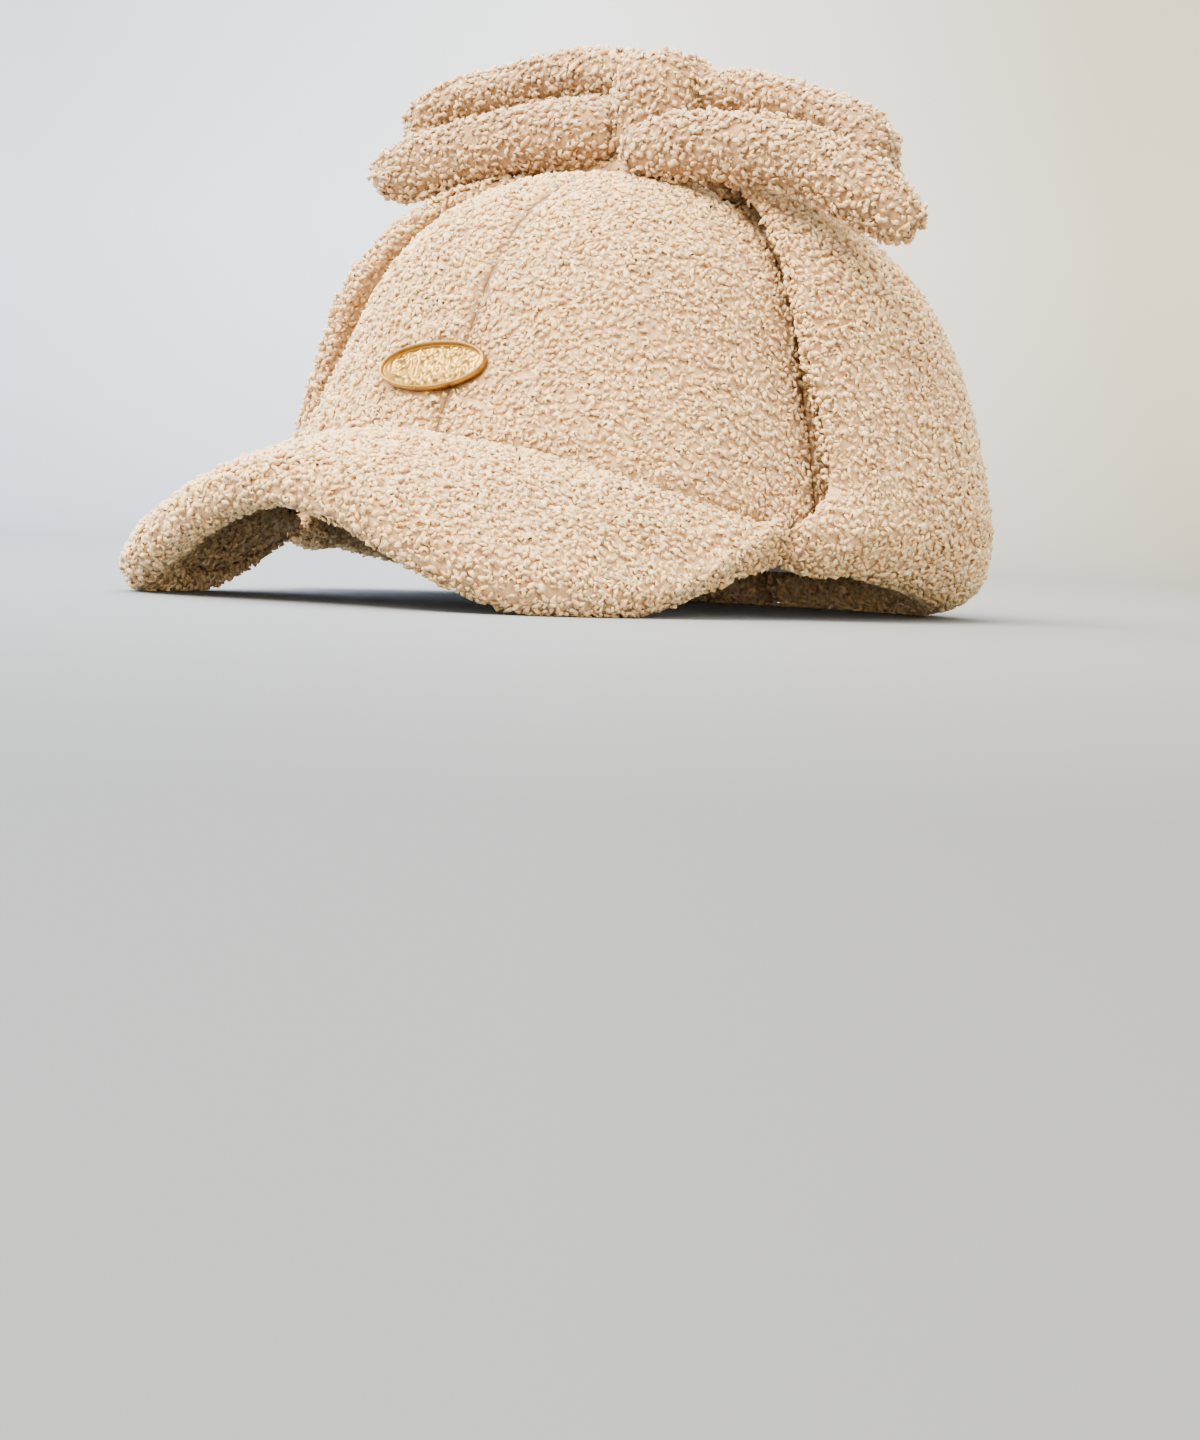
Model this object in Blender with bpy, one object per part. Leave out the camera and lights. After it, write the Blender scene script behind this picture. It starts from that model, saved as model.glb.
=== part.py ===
"""A fleece cap with a bent peak, its two earflaps folded up and tied in a bow over the crown.

The cap is shaped as worn: front towards -Y, wearer's left towards +X, fold line at height 0.
It is then leaned back until the corners of the peak and the fold at the back stand on the floor, z = 0,
and moved so that the middle of its bounding box is over the origin.
"""

import math

import bmesh
import bpy
import numpy as np

for leftover in list(bpy.data.objects):
    bpy.data.objects.remove(leftover, do_unlink=True)

# Driving sizes, in metres
CROWN_LENGTH = 0.202
CROWN_WIDTH = 0.184
CROWN_HEIGHT = 0.114
CROWN_WALL = 0.005
CROWN_OPENING = 0.003
CROWN_SQUARENESS = 2.5
FRONT_ARCH = 0.008
SEAM_DIP = 0.0012
PIECE_GAP = 0.0003

PEAK_WIDTH = 0.160
PEAK_REACH = 0.128
PEAK_DROP = 0.040
PEAK_COVER = 0.0065
PEAK_UNDERSIDE = 0.004
PEAK_ROOT_RISE = 0.0025
PEAK_END_FALL = 0.006
PEAK_END_LIP = 0.007
PEAK_ROLL = 0.009
PEAK_EDGE_LIP = 0.0004
PEAK_SEAM = 0.78
PEAK_ROLL_START = 0.86

BAND_HEIGHT = 0.030
BAND_THICKNESS = 0.0015

FLAP_THICKNESS = 0.011
FLAP_STAND = 0.0115
FLAP_FRONT_STAND_LEFT = 0.0035
FLAP_FRONT_STAND_RIGHT = 0.0150
FLAP_FOLD_DROP = 0.008
FLAP_ROOT_RISE = 0.006
FLAP_HEIGHT = 0.93 * CROWN_HEIGHT

TIE_WIDTH = 0.022
TIE_THICKNESS = 0.006

TAIL_WIDTH = 0.017
TAIL_DEPTH = 0.019
TAIL_LEFT_REACH = 0.104
TAIL_RIGHT_REACH = 0.099
LOOP_WIDTH = 0.020
LOOP_DEPTH = 0.014
LOOP_LEFT_REACH = 0.073
LOOP_RIGHT_REACH = 0.101
KNOT_WIDTH = 0.026
KNOT_DEPTH = 0.030
KNOT_HEIGHT = 0.031
KNOT_OFFSET = 0.004

BADGE_WIDTH = 0.038
BADGE_HEIGHT = 0.0165
BADGE_THICKNESS = 0.0026
BADGE_RIM = 0.0016
BADGE_RECESS = 0.0007
BADGE_OFFSET = 0.008
BADGE_LEVEL = 0.325 * CROWN_HEIGHT
BADGE_TURN = 5.0

FLOOR_PRESS = 0.0016

# Angles round the crown, in degrees from the front towards the wearer's side
SIDE_SEAM = 78.0
PEAK_END = 65.0
FLAP_FRONT = 66.5
BACK_SEAM = 180.0

# How many steps each grid has
PANEL_ACROSS, PANEL_UP = 9, 12
PEAK_ACROSS, PEAK_ALONG = 26, 8
FLAP_ACROSS, FLAP_UP, FOLD_STEPS = 14, 9, 6
BAND_UP = 3
STRAND_SIDES = 10

# Crown profile from the fold line to the top: height and reach as shares of the crown's own
CROWN_PROFILE = (
    # turn, height, reach
    (-0.1, -0.145, 1.030),
    (0.0, 0.00, 1.000),
    (0.1, 0.145, 0.955),
    (0.2, 0.29, 0.900),
    (0.3, 0.43, 0.845),
    (0.4, 0.555, 0.800),
    (0.5, 0.66, 0.745),
    (0.6, 0.76, 0.665),
    (0.7, 0.85, 0.555),
    (0.8, 0.925, 0.405),
    (0.9, 0.975, 0.220),
    (1.0, 1.00, 0.000),
)

# Lower edge of the crown round half the cap: arch over the peak, and the step up behind the flap
CROWN_RIM = (
    # angle, share of front arch, share of flap root rise
    (0.0, 1.00, 0.0),
    (20.0, 0.85, 0.0),
    (40.0, 0.36, 0.0),
    (55.0, 0.06, 0.0),
    (66.0, 0.00, 0.0),
    (77.0, 0.00, 1.0),
    (100.0, 0.00, 1.0),
    (140.0, 0.00, 1.0),
    (180.0, 0.00, 1.0),
)

# Front edge of the peak from the middle to its end: shares of half the width, the reach and the drop,
# and how far the edge has turned in to its end at the crown
PEAK_EDGE = (
    # turn, sideways, forward, drop, turned in
    (0.00, 0.00, 1.00, 0.34, 0.00),
    (0.15, 0.26, 0.99, 0.45, 0.00),
    (0.30, 0.52, 0.95, 0.69, 0.00),
    (0.45, 0.75, 0.87, 0.90, 0.00),
    (0.60, 0.91, 0.74, 0.99, 0.00),
    (0.72, 0.985, 0.57, 0.98, 0.05),
    (0.84, 1.00, 0.36, 0.76, 0.35),
    (0.94, 1.00, 0.14, 0.38, 0.80),
    (1.00, 1.00, 0.00, 0.12, 1.00),
)

# Upper edge of a flap from its front corner to the centre back
FLAP_TOP = (
    # turn, angle, share of flap height
    (0.00, 70.0, 1.00),
    (0.14, 88.0, 1.00),
    (0.32, 112.0, 0.92),
    (0.52, 134.0, 0.76),
    (0.76, 159.0, 0.62),
    (1.00, 180.0, 0.57),
)

# A flap from the fold upwards: how far its front edge swings back, and how far it stands off
FLAP_RISE = (
    # turn, swing in degrees, share of flap stand
    (0.00, 0.0, 0.75),
    (0.10, 8.0, 0.95),
    (0.22, 7.0, 1.00),
    (0.40, 4.0, 1.05),
    (0.60, 1.0, 1.05),
    (0.80, 0.0, 0.75),
    (1.00, 0.0, 0.14),
)

# A flap from its front edge to the centre back: how far it stands off
FLAP_ALONG = (
    # turn, share of the front edge's own stand, share of flap stand
    (0.00, 1.00, 0.00),
    (0.10, 0.55, 0.45),
    (0.25, 0.00, 1.00),
    (0.50, 0.00, 1.10),
    (0.80, 0.00, 1.15),
    (1.00, 0.00, 1.10),
)

# Routes of the bow's strands: shares of the reach outwards, strand widths back, strand depths up
LOOP_LEFT = (
    # out, back, up
    (0.00, 0.20, 1.95),
    (0.30, 0.30, 1.90),
    (0.65, 0.40, 1.55),
    (0.92, 0.40, 1.15),
    (1.00, 0.40, 0.65),
    (0.88, 0.40, 0.18),
    (0.60, 0.35, 0.52),
    (0.30, 0.30, 0.86),
    (0.00, 0.20, 0.92),
)
LOOP_RIGHT = (
    # out, back, up
    (0.00, 0.25, 2.45),
    (0.30, 0.35, 2.55),
    (0.60, 0.45, 2.25),
    (0.90, 0.50, 1.85),
    (1.00, 0.50, 1.38),
    (0.90, 0.50, 0.82),
    (0.60, 0.45, 1.18),
    (0.30, 0.35, 1.48),
    (0.00, 0.25, 1.42),
)
TAIL_LEFT = (
    # out, back, up
    (-0.04, -1.85, 0.08),
    (0.22, -1.60, 0.23),
    (0.57, -1.41, 0.08),
    (0.80, -1.18, -0.37),
    (1.00, -0.95, -0.92),
)
TAIL_RIGHT = (
    # out, back, up
    (0.00, -0.60, 0.72),
    (0.38, -0.80, 0.50),
    (0.72, -0.82, 0.18),
    (0.90, -0.82, -0.02),
    (1.00, -0.82, -0.12),
)


def smooth_rows(rows, at):
    """Reads a table whose first column rises, on a smooth curve through its rows."""
    table = np.array(rows, dtype=float)
    keys = table[:, 0]
    at = min(max(at, keys[0]), keys[-1])
    row = int(min(max(np.searchsorted(keys, at) - 1, 0), len(keys) - 2))
    span = keys[row + 1] - keys[row]
    share = (at - keys[row]) / span
    before = table[max(row - 1, 0)]
    after = table[min(row + 2, len(keys) - 1)]
    start, end = table[row], table[row + 1]
    slope_in = (end - before)[1:] / max(end[0] - before[0], 1e-9) * span
    slope_out = (after - start)[1:] / max(after[0] - start[0], 1e-9) * span
    square, cube = share * share, share * share * share
    return (
        (2 * cube - 3 * square + 1) * start[1:]
        + (cube - 2 * square + share) * slope_in
        + (3 * square - 2 * cube) * end[1:]
        + (cube - square) * slope_out
    )


def profile_turn(height):
    """The profile's own parameter at a height above the fold line."""
    table = np.array(CROWN_PROFILE)
    low, high = table[0, 0], table[-1, 0]
    for _ in range(40):
        middle = 0.5 * (low + high)
        if smooth_rows(CROWN_PROFILE, middle)[0] * CROWN_HEIGHT < height:
            low = middle
        else:
            high = middle
    return 0.5 * (low + high)


def plan_radius(sideways, forward):
    """Radius of the crown's outline in a direction given by its two parts."""
    wide = abs(sideways / (0.5 * CROWN_WIDTH)) ** CROWN_SQUARENESS
    long = abs(forward / (0.5 * CROWN_LENGTH)) ** CROWN_SQUARENESS
    return (wide + long) ** (-1.0 / CROWN_SQUARENESS)


def crown_point(angle, turn):
    """A point on the crown's outer face."""
    height, reach = smooth_rows(CROWN_PROFILE, turn)
    around = math.radians(angle)
    out = reach * plan_radius(math.sin(around), math.cos(around))
    return np.array((out * math.sin(around), -out * math.cos(around), CROWN_HEIGHT * height))


def crown_normal(angle, turn):
    """The crown's outward direction at a point of its outer face."""
    step = 0.01
    along = crown_point(angle + 1.0, turn) - crown_point(angle - 1.0, turn)
    up = crown_point(angle, min(turn + step, 1.0)) - crown_point(angle, turn - step)
    normal = np.cross(along, up)
    return normal / np.linalg.norm(normal)


def off_crown(angle, turn, distance):
    """A point at a distance out from the crown's outer face, negative for inside it."""
    return crown_point(angle, turn) + crown_normal(angle, turn) * distance


def rim_height(angle):
    """Height of the crown's lower edge at an angle from the front."""
    folded = abs((angle + 180.0) % 360.0 - 180.0)
    arch, rise = smooth_rows(CROWN_RIM, folded)
    return FRONT_ARCH * arch + FLAP_ROOT_RISE * rise


def material(name, colour, roughness, metallic=0.0):
    """A Principled material of one finish."""
    made = bpy.data.materials.new(name)
    made.use_nodes = True
    shader = made.node_tree.nodes["Principled BSDF"]
    shader.inputs["Base Color"].default_value = (*colour, 1.0)
    shader.inputs["Roughness"].default_value = roughness
    shader.inputs["Metallic"].default_value = metallic
    return made


def closed_sheet(outer, inner, loop=False):
    """Points and faces of a solid between two grids; loop joins the last column to the first."""
    rows, columns = outer.shape[:2]
    points = np.concatenate([outer.reshape(-1, 3), inner.reshape(-1, 3)])
    far = rows * columns

    def at(row, column, side=0):
        return side * far + row * columns + column % columns

    faces = []
    wide = columns if loop else columns - 1
    for row in range(rows - 1):
        for column in range(wide):
            here, beside = (row, column), (row, column + 1)
            above, across = (row + 1, column), (row + 1, column + 1)
            for corners in ((here, beside, across), (here, across, above)):
                faces.append([at(*corner) for corner in corners])
                faces.append([at(*corner, 1) for corner in reversed(corners)])
    for column in range(wide):
        faces.append([at(0, column + 1), at(0, column), at(0, column, 1), at(0, column + 1, 1)])
        last = rows - 1
        faces.append([at(last, column), at(last, column + 1), at(last, column + 1, 1), at(last, column, 1)])
    if not loop:
        edge = columns - 1
        for row in range(rows - 1):
            faces.append([at(row, 0), at(row + 1, 0), at(row + 1, 0, 1), at(row, 0, 1)])
            faces.append([at(row + 1, edge), at(row, edge), at(row, edge, 1), at(row + 1, edge, 1)])
    return points, faces


def panel_edge_angle(angle, turn, way):
    """A seam's angle moved by half the gap between two panels, more near the top."""
    reach = smooth_rows(CROWN_PROFILE, turn)[1]
    radius = 0.5 * min(CROWN_WIDTH, CROWN_LENGTH) * max(reach, 0.02)
    return angle + way * math.degrees(0.5 * PIECE_GAP / radius)


def crown_panel(start, end):
    """One of the four panels: crowned between its seams, open at the lower edge."""
    top = profile_turn(CROWN_HEIGHT)
    while smooth_rows(CROWN_PROFILE, top)[1] * 0.5 * CROWN_WIDTH < CROWN_OPENING:
        top -= 0.002
    outer = np.zeros((PANEL_UP + 1, PANEL_ACROSS + 1, 3))
    inner = np.zeros_like(outer)
    for row in range(PANEL_UP + 1):
        for column in range(PANEL_ACROSS + 1):
            share = column / PANEL_ACROSS
            rough = start + (end - start) * share
            low = profile_turn(rim_height(rough))
            turn = low + (top - low) * row / PANEL_UP
            first = panel_edge_angle(start, turn, 1.0)
            last = panel_edge_angle(end, turn, -1.0)
            angle = first + (last - first) * share
            crowning = 1.0 - abs(2.0 * share - 1.0) ** 6
            dip = SEAM_DIP * (crowning - 1.0)
            outer[row, column] = off_crown(angle, turn, dip)
            inner[row, column] = off_crown(angle, turn, -CROWN_WALL)
    return closed_sheet(outer, inner)


def peak_root_height(across):
    """Height of the peak's middle where it meets the crown."""
    return rim_height(PEAK_END * across) + PEAK_ROOT_RISE - PEAK_END_FALL * across * across


def peak_middle(across, along):
    """Middle surface of the peak: ruled from the crown's edge to the peak's own front edge."""
    side = 1.0 if across >= 0 else -1.0
    turn = abs(across)
    angle = PEAK_END * across
    root = off_crown(angle, profile_turn(peak_root_height(across)), PIECE_GAP)
    sideways, forward, drop, joined = smooth_rows(PEAK_EDGE, turn)
    end = off_crown(PEAK_END, 0.0, PEAK_END_LIP)
    edge = np.array(
        (
            side * (0.5 * PEAK_WIDTH * sideways * (1.0 - joined) + end[0] * joined),
            end[1] - PEAK_REACH * forward,
            -PEAK_DROP * drop,
        )
    )
    bow = 0.03 * PEAK_REACH * math.sin(math.pi * along) * (1.0 - turn * turn)
    return root + (edge - root) * along + np.array((0.0, 0.0, bow))


def peak_normal(across, along):
    """Upward direction of the peak's middle surface."""
    step = 0.02
    sideways = peak_middle(min(across + step, 1.0), along) - peak_middle(max(across - step, -1.0), along)
    forward = peak_middle(across, min(along + step, 1.0)) - peak_middle(across, max(along - step, 0.0))
    normal = np.cross(forward, sideways)
    normal = normal / np.linalg.norm(normal)
    return normal if normal[2] > 0 else -normal


def peak_layer_point(across, along, offset):
    """A point of the peak at an offset from its middle; its root lies against the crown."""
    if along <= 0.0:
        angle = PEAK_END * across
        height = peak_root_height(across) + offset
        return off_crown(angle, profile_turn(height), PIECE_GAP)
    return peak_middle(across, along) + peak_normal(across, along) * offset


def edge_round(along):
    """How much of its thickness the peak's edge keeps: a quarter round to nothing."""
    share = max(0.0, (along - PEAK_ROLL_START) / (1.0 - PEAK_ROLL_START))
    return math.sqrt(max(0.0, 1.0 - min(share, 0.995) ** 2))


def peak_seam_stations():
    """Where the rows of the peak's two cloths lie, from the crown to the seam under its edge."""
    return list(np.linspace(0.0, PEAK_SEAM, PEAK_ALONG))


def peak_cover():
    """Upper cloth of the peak, rolled over its front edge to the seam on its underside."""
    lift = 0.5 * PIECE_GAP
    flat = peak_seam_stations()
    rolled = [None, PEAK_ROLL_START, 0.92, 0.965, 0.99, 1.0]
    outer = np.zeros((len(flat) + len(rolled), PEAK_ACROSS + 1, 3))
    inner = np.zeros_like(outer)
    for column in range(PEAK_ACROSS + 1):
        across = 2.0 * column / PEAK_ACROSS - 1.0
        length = np.linalg.norm(peak_middle(across, 1.0) - peak_middle(across, 0.0))
        rolled[0] = min(PEAK_SEAM + 2.0 * PIECE_GAP / length, PEAK_ROLL_START - 0.01)
        for row, along in enumerate(flat + rolled):
            swell = 0.5 + 0.5 * min(1.0, along / 0.3) + 0.35 * max(0.0, (along - 0.6) / 0.4)
            upper = PEAK_COVER * swell * edge_round(along)
            wrap = min(-(PEAK_ROLL - 0.5 * PEAK_COVER) * edge_round(along), -PEAK_EDGE_LIP)
            outer[row, column] = peak_layer_point(across, along, max(upper, PEAK_EDGE_LIP))
            inner[row, column] = peak_layer_point(across, along, lift if row < len(flat) else wrap)
    return closed_sheet(outer, inner)


def peak_lower():
    """Lower cloth of the peak, set inside the rolled edge."""
    lift = 0.5 * PIECE_GAP
    flat = peak_seam_stations()
    outer = np.zeros((len(flat), PEAK_ACROSS + 1, 3))
    inner = np.zeros_like(outer)
    for column in range(PEAK_ACROSS + 1):
        across = 2.0 * column / PEAK_ACROSS - 1.0
        length = np.linalg.norm(peak_middle(across, 1.0) - peak_middle(across, 0.0))
        flat[-1] = PEAK_SEAM - 3.0 * PIECE_GAP / length
        for row, along in enumerate(flat):
            outer[row, column] = peak_layer_point(across, along, -lift)
            inner[row, column] = peak_layer_point(across, along, -PEAK_UNDERSIDE)
    return closed_sheet(outer, inner)


def sweatband():
    """The band inside the crown, all the way round its lower edge."""
    quarter = list(np.linspace(0.0, SIDE_SEAM, PANEL_ACROSS, endpoint=False))
    quarter += list(np.linspace(SIDE_SEAM, BACK_SEAM, PANEL_ACROSS, endpoint=False))
    angles = quarter + [BACK_SEAM] + [-angle for angle in reversed(quarter[1:])]
    outer = np.zeros((BAND_UP + 1, len(angles), 3))
    inner = np.zeros_like(outer)
    face = CROWN_WALL + 2.0 * PIECE_GAP
    for column, angle in enumerate(angles):
        low = rim_height(angle) - 0.3 * FLAP_ROOT_RISE
        for row in range(BAND_UP + 1):
            turn = profile_turn(low + BAND_HEIGHT * row / BAND_UP)
            outer[row, column] = off_crown(angle, turn, -face)
            inner[row, column] = off_crown(angle, turn, -face - BAND_THICKNESS)
    return closed_sheet(outer, inner, loop=True)


def flap_section(across, front_stand):
    """Middle line of a flap at one place: down from the crown's edge, round the fold and up."""
    base = FLAP_FRONT + (BACK_SEAM - FLAP_FRONT) * across
    top_angle, top_height = smooth_rows(FLAP_TOP, across)
    near, beyond = smooth_rows(FLAP_ALONG, across)
    full = front_stand * near + FLAP_STAND * beyond
    front = (1.0 - across) ** 2
    wall = 0.5 * CROWN_WALL
    column = (BACK_SEAM - FLAP_FRONT) / FLAP_ACROSS
    rim = min(rim_height(base - column), rim_height(base))
    start = min(0.25 * FLAP_ROOT_RISE, rim - 6.0 * PIECE_GAP)
    low = profile_turn(start)
    rows = [(base, profile_turn(rim - PIECE_GAP), -wall, wall, 0.0)]
    outside = full * smooth_rows(FLAP_RISE, 0.0)[1] + 0.5 * FLAP_THICKNESS
    radius = 0.5 * (outside + wall)
    centre = 0.5 * (outside - wall)
    for step in range(FOLD_STEPS + 1):
        swing = math.pi * step / FOLD_STEPS
        half = wall + (0.5 * FLAP_THICKNESS - wall) * step / FOLD_STEPS
        fall = -FLAP_FOLD_DROP * math.sin(swing)
        rows.append((base, low, centre - radius * math.cos(swing), half, fall))
    for step in range(1, FLAP_UP + 1):
        share = step / FLAP_UP
        swing, stand = smooth_rows(FLAP_RISE, share)
        height = start + (FLAP_HEIGHT * top_height - start) * share
        angle = base + (top_angle - base) * share + swing * front
        distance = full * stand + 0.5 * FLAP_THICKNESS + PIECE_GAP
        rows.append((angle, profile_turn(height), distance, 0.5 * FLAP_THICKNESS, 0.0))
    return rows


def flap(side, front_stand):
    """An earflap: folded outwards at the cap's edge and laid up against the crown."""
    sections = []
    for column in range(FLAP_ACROSS + 1):
        share = column / FLAP_ACROSS
        middle, half = [], []
        for angle, turn, distance, thick, fall in flap_section(share, front_stand):
            point = off_crown(angle, turn, distance) + np.array((0.0, 0.0, fall))
            middle.append(point * np.array((side, 1.0, 1.0)))
            half.append(thick)
        sections.append((middle, half))
    middle = np.array([section[0] for section in sections]).transpose(1, 0, 2)
    half = np.array([section[1] for section in sections]).T
    rows, columns = half.shape
    normal = np.zeros_like(middle)
    for row in range(rows):
        for column in range(columns):
            up = middle[min(row + 1, rows - 1), column] - middle[max(row - 1, 0), column]
            along = middle[row, min(column + 1, columns - 1)] - middle[row, max(column - 1, 0)]
            across = np.cross(along, up) * side
            normal[row, column] = across / np.linalg.norm(across)
    keep = np.ones((rows, columns))
    keep[-1, :] = 0.35
    keep[-2, :] = 0.85
    keep[1:, 0] *= 0.45
    keep[1:, 1] *= 0.92
    half = (half * keep)[..., None]
    outer, inner = middle + normal * half, middle - normal * half
    for grid in (outer, inner):
        grid[:, -1, 0] = side * 0.5 * PIECE_GAP
    return closed_sheet(outer, inner)


def tube(route, width, depth, start=(1.0,), end=(0.55, 0.85)):
    """A soft strand along a route: oval sections, scaled down towards each end by its own shares."""
    route = np.array(route, dtype=float)
    count = len(route)
    spin = np.linspace(0.0, 2.0 * math.pi, STRAND_SIDES, endpoint=False)
    points, faces = [], []
    side = np.array((0.0, 1.0, 0.0))
    for index, centre in enumerate(route):
        ahead = route[min(index + 1, count - 1)] - route[max(index - 1, 0)]
        ahead = ahead / np.linalg.norm(ahead)
        side = side - ahead * side.dot(ahead)
        side = side / np.linalg.norm(side)
        up = np.cross(side, ahead)
        scale = start[index] if index < len(start) else 1.0
        left = count - 1 - index
        if left < len(end):
            scale = end[left]
        for turn in spin:
            across = side * 0.5 * width * math.cos(turn) + up * 0.5 * depth * math.sin(turn)
            points.append(centre + across * scale)
    for index in range(count - 1):
        for step in range(STRAND_SIDES):
            after = (step + 1) % STRAND_SIDES
            low, high = index * STRAND_SIDES, (index + 1) * STRAND_SIDES
            faces.append([low + step, low + after, high + after, high + step])
    faces.append(list(range(STRAND_SIDES))[::-1])
    faces.append([(count - 1) * STRAND_SIDES + step for step in range(STRAND_SIDES)])
    return np.array(points), faces


def crown_top_at(x, y):
    """Height of the crown's outer face above a place under the knot or a tie."""
    reach = math.hypot(x, y) / plan_radius(x / math.hypot(x, y), y / math.hypot(x, y))
    low, high = 0.0, 1.0
    for _ in range(40):
        middle = 0.5 * (low + high)
        if smooth_rows(CROWN_PROFILE, middle)[1] > reach:
            low = middle
        else:
            high = middle
    return CROWN_HEIGHT * smooth_rows(CROWN_PROFILE, low)[0]


def tie(side, start):
    """A tie from the top of a flap over the crown to the knot, which covers its end."""
    rows, columns = 9, 4
    lower = np.zeros((rows, columns + 1, 3))
    upper = np.zeros_like(lower)
    for row, x in enumerate(np.linspace(start, PIECE_GAP, rows)):
        for column in range(columns + 1):
            share = 2.0 * column / columns - 1.0
            y = 0.5 * TIE_WIDTH * share
            floor = crown_top_at(x, y)
            slope = (crown_top_at(x, y) - crown_top_at(x + PIECE_GAP, y)) / PIECE_GAP
            steep = math.sqrt(1.0 + slope * slope)
            thick = TIE_THICKNESS * (1.0 - 0.35 * share * share)
            lower[row, column] = (side * x, y, floor + 1.3 * PIECE_GAP * steep)
            upper[row, column] = (side * x, y, floor + (1.3 * PIECE_GAP + thick) * steep)
    return closed_sheet(upper, lower)


def knot(centre):
    """The knot: a soft rounded block."""
    rings, sides, power = 8, 16, 0.62
    points, faces = [], []

    def squared(value):
        return math.copysign(abs(value) ** power, value)

    for ring in range(1, rings):
        down = math.pi * ring / rings
        for step in range(sides):
            turn = 2.0 * math.pi * step / sides
            points.append(
                (
                    centre[0] + 0.5 * KNOT_WIDTH * squared(math.sin(down)) * squared(math.cos(turn)),
                    centre[1] + 0.5 * KNOT_DEPTH * squared(math.sin(down)) * squared(math.sin(turn)),
                    centre[2] + 0.5 * KNOT_HEIGHT * squared(math.cos(down)),
                )
            )
    for ring in range(rings - 2):
        for step in range(sides):
            after = (step + 1) % sides
            low, high = ring * sides, (ring + 1) * sides
            faces.append([low + step, low + after, high + after, high + step])
    top, base = len(points), len(points) + 1
    points.append((centre[0], centre[1], centre[2] + 0.5 * KNOT_HEIGHT))
    points.append((centre[0], centre[1], centre[2] - 0.5 * KNOT_HEIGHT))
    last = (rings - 2) * sides
    for step in range(sides):
        after = (step + 1) % sides
        faces.append([top, step, after])
        faces.append([base, last + after, last + step])
    return np.array(points), faces


def along_curve(points, count):
    """Points evenly spaced on a smooth curve through a few route points."""
    points = np.array(points, dtype=float)
    keys = np.concatenate([[0.0], np.cumsum(np.linalg.norm(np.diff(points, axis=0), axis=1))])
    rows = np.column_stack([keys / keys[-1], points])
    return np.array([smooth_rows(rows, share) for share in np.linspace(0.0, 1.0, count)])


def build_object(name, shape, finish):
    """An object from points and faces, with its faces turned outwards."""
    points, faces = shape
    mesh = bpy.data.meshes.new(name)
    mesh.from_pydata([tuple(point) for point in points], [], faces)
    work = bmesh.new()
    work.from_mesh(mesh)
    bmesh.ops.recalc_face_normals(work, faces=work.faces)
    work.to_mesh(mesh)
    work.free()
    mesh.shade_smooth()
    mesh.materials.append(finish)
    made = bpy.data.objects.new(name, mesh)
    bpy.context.scene.collection.objects.link(made)
    return made


def strand_points(rows, reach, side, size):
    """A strand's route from its table, from beside the knot outwards; size is its width and depth."""
    beside = 0.5 * KNOT_WIDTH + PIECE_GAP
    made = []
    for out, back, up in rows:
        made.append(
            (
                KNOT_OFFSET + side * (beside + (reach - beside) * out),
                size[0] * back,
                CROWN_HEIGHT + size[1] * up,
            )
        )
    return made


def leaned(points, lean):
    """Points turned about the X axis so that the front rises."""
    angle = math.radians(lean)
    turned = points.copy()
    turned[:, 1] = points[:, 1] * math.cos(angle) + points[:, 2] * math.sin(angle)
    turned[:, 2] = points[:, 2] * math.cos(angle) - points[:, 1] * math.sin(angle)
    return turned


def resting_lean(front, back):
    """The lean at which the peak's corners and the fold at the back are equally low."""
    low, high = -10.0, 30.0
    for _ in range(40):
        middle = 0.5 * (low + high)
        if leaned(front, middle)[:, 2].min() < leaned(back, middle)[:, 2].min():
            low = middle
        else:
            high = middle
    return 0.5 * (low + high)


def badge_shape():
    """Oval plate with a raised rim round a lower field, its face towards -Y."""
    steps = 32
    rings = (
        # share of half width kept inside the edge, height from the back
        (0.0, 0.0),
        (0.0, 0.7 * BADGE_THICKNESS),
        (0.3 * BADGE_RIM, BADGE_THICKNESS),
        (0.8 * BADGE_RIM, BADGE_THICKNESS),
        (BADGE_RIM, BADGE_THICKNESS - BADGE_RECESS),
    )
    points, faces = [], []
    for inset, height in rings:
        for step in range(steps):
            turn = 2.0 * math.pi * step / steps
            points.append(
                (
                    (0.5 * BADGE_WIDTH - inset) * math.cos(turn),
                    -height,
                    (0.5 * BADGE_HEIGHT - inset) * math.sin(turn),
                )
            )
    for ring in range(len(rings) - 1):
        for step in range(steps):
            after = (step + 1) % steps
            low, high = ring * steps, (ring + 1) * steps
            faces.append([low + step, low + after, high + after, high + step])
    faces.append(list(range(steps))[::-1])
    faces.append([(len(rings) - 1) * steps + step for step in range(steps)])
    return np.array(points), faces


def placed_badge():
    """The badge against the front of the crown, leaning back with it."""
    points, faces = badge_shape()
    turn = profile_turn(BADGE_LEVEL)
    angle = math.degrees(math.asin(-BADGE_OFFSET / (0.5 * CROWN_WIDTH)))
    seat = crown_point(angle, turn)
    slope = crown_normal(angle, turn)
    tilt = math.atan2(slope[2], -slope[1])
    spin = math.radians(BADGE_TURN)
    flat = points.copy()
    flat[:, 0] = points[:, 0] * math.cos(spin) - points[:, 2] * math.sin(spin)
    flat[:, 2] = points[:, 0] * math.sin(spin) + points[:, 2] * math.cos(spin)
    upright = flat.copy()
    upright[:, 1] = flat[:, 1] * math.cos(tilt) + flat[:, 2] * math.sin(tilt)
    upright[:, 2] = flat[:, 2] * math.cos(tilt) - flat[:, 1] * math.sin(tilt)
    stand = np.array((0.0, -math.cos(tilt), math.sin(tilt))) * -0.5 * PIECE_GAP
    return upright + seat + stand, faces


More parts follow.
